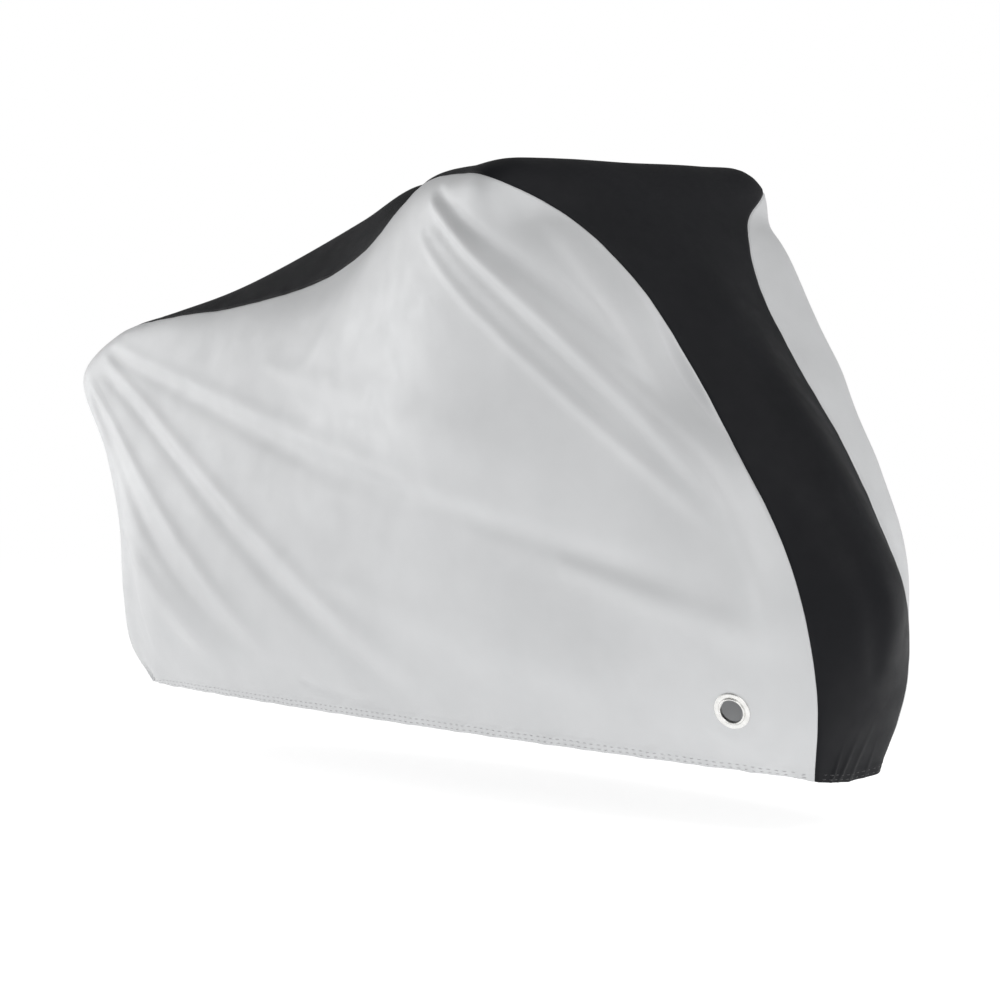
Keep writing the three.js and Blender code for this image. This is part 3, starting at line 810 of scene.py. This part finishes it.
# Studio: a pale floor that runs out into a white ground, soft boxes round the cover, and a camera off
# its front right corner, a little above half its height. Sizes are in metres.
FLOOR_HALF = 30.0
FLOOR_Z = -CARRIED_HEIGHT * MM
FLOOR_CLEAR = 7.0  # the floor is plain white light beyond this distance
FLOOR_GLOW = 0.76
FLOOR_DARK = (0.8, 0.8, 0.8)
FLOOR_LIGHT = (0.83, 0.83, 0.83)
FLOOR_CLOUDS = {"Scale": 3, "Detail": 3}
WHITE = (1, 1, 1, 1)
FILL_STRENGTH = 0.28  # of the white ground's light on the cover

corners = [(-1, -1), (1, -1), (1, 1), (-1, 1)]
floor_points = [(x * FLOOR_HALF, y * FLOOR_HALF, FLOOR_Z) for x, y in corners]
floor_mesh = bpy.data.meshes.new("floor")
floor_mesh.from_pydata(floor_points, [], [(0, 1, 2, 3)])
floor = add_object("floor", floor_mesh)

pale_floor, shader, coordinates = new_material("pale_floor")
set_inputs(pale_floor, shader, {
    "Base Color": varied(pale_floor, coordinates, FLOOR_CLOUDS, FLOOR_DARK, FLOOR_LIGHT),
    "Roughness": 0.9,
    "Emission Color": WHITE,
    "Emission Strength": FLOOR_GLOW,
})
to_clear = {"Vector": coordinates["Object"], "Scale": (1 / FLOOR_CLEAR,) * 3}
near = add_node(pale_floor, "ShaderNodeMapping", to_clear)
falloff = add_node(pale_floor, "ShaderNodeTexGradient", {"Vector": near.outputs["Vector"]},
                   gradient_type="QUADRATIC_SPHERE")
far_light = add_node(pale_floor, "ShaderNodeEmission", {"Color": WHITE, "Strength": 1.0})
ground = add_node(pale_floor, "ShaderNodeMixShader", {
    0: falloff.outputs["Fac"],
    1: far_light.outputs["Emission"],
    2: shader.outputs["BSDF"],
})
output = pale_floor.node_tree.nodes["Material Output"]
pale_floor.node_tree.links.new(ground.outputs["Shader"], output.inputs["Surface"])
floor_mesh.materials.append(pale_floor)

world = bpy.data.worlds.new("white_ground")
world.use_nodes = True
fill = world.node_tree.nodes["Background"]
set_inputs(world, fill, {"Color": WHITE, "Strength": FILL_STRENGTH})
seen_ground = add_node(world, "ShaderNodeBackground", {"Color": WHITE, "Strength": 1.0})
light_path = add_node(world, "ShaderNodeLightPath", {})
mixed = add_node(world, "ShaderNodeMixShader", {
    0: light_path.outputs["Is Camera Ray"],
    1: fill.outputs["Background"],
    2: seen_ground.outputs["Background"],
})
world_output = world.node_tree.nodes["World Output"]
world.node_tree.links.new(mixed.outputs["Shader"], world_output.inputs["Surface"])
bpy.context.scene.world = world
bpy.context.scene.view_settings.view_transform = "Standard"

BOX_AIM = Vector((-0.4, 0, -0.48))
BOX_DISTANCE = 4.0
BOX_SIZE = 2.4

# Soft boxes, named as the camera sees them. Azimuth from the right side towards the front, and
# elevation, in degrees; watts.
SOFT_BOXES = {
    "rear_box": (-78, 8, 50),
    "left_box": (-46, 8, 13),
    "front_box": (46, 8, 27),
    "high_box": (95, 42, 34),
    "right_box": (134, 8, 32),
}


def add_soft_box(name, azimuth, elevation, watts):
    """A square area light that faces the cover from a direction given in degrees."""
    light = bpy.data.lights.new(name, "AREA")
    light.size = BOX_SIZE
    light.energy = watts
    level = np.cos(radians(elevation))
    towards = Vector((np.sin(radians(azimuth)) * level, -np.cos(radians(azimuth)) * level,
                      np.sin(radians(elevation))))
    box = add_object(name, light)
    box.location = BOX_AIM + BOX_DISTANCE * towards
    box.rotation_euler = (-towards).to_track_quat("-Z", "Y").to_euler()
    box.visible_camera = False


for name, (azimuth, elevation, watts) in SOFT_BOXES.items():
    add_soft_box(name, azimuth, elevation, watts)

CAMERA_PLACE = (3.3222, -3.7406, -0.252)
CAMERA_TILT = 86.86  # degrees up from straight down
CAMERA_TURN = 44  # degrees from the right side towards the front
CAMERA_LENS = 114.18  # in millimetres, as is the width of the sensor
CAMERA_SENSOR = 36

camera_data = bpy.data.cameras.new("camera")
camera_data.lens = CAMERA_LENS
camera_data.sensor_width = CAMERA_SENSOR
camera = add_object("camera", camera_data)
camera.location = CAMERA_PLACE
camera.rotation_euler = (radians(CAMERA_TILT), 0, radians(CAMERA_TURN))
bpy.context.scene.camera = camera
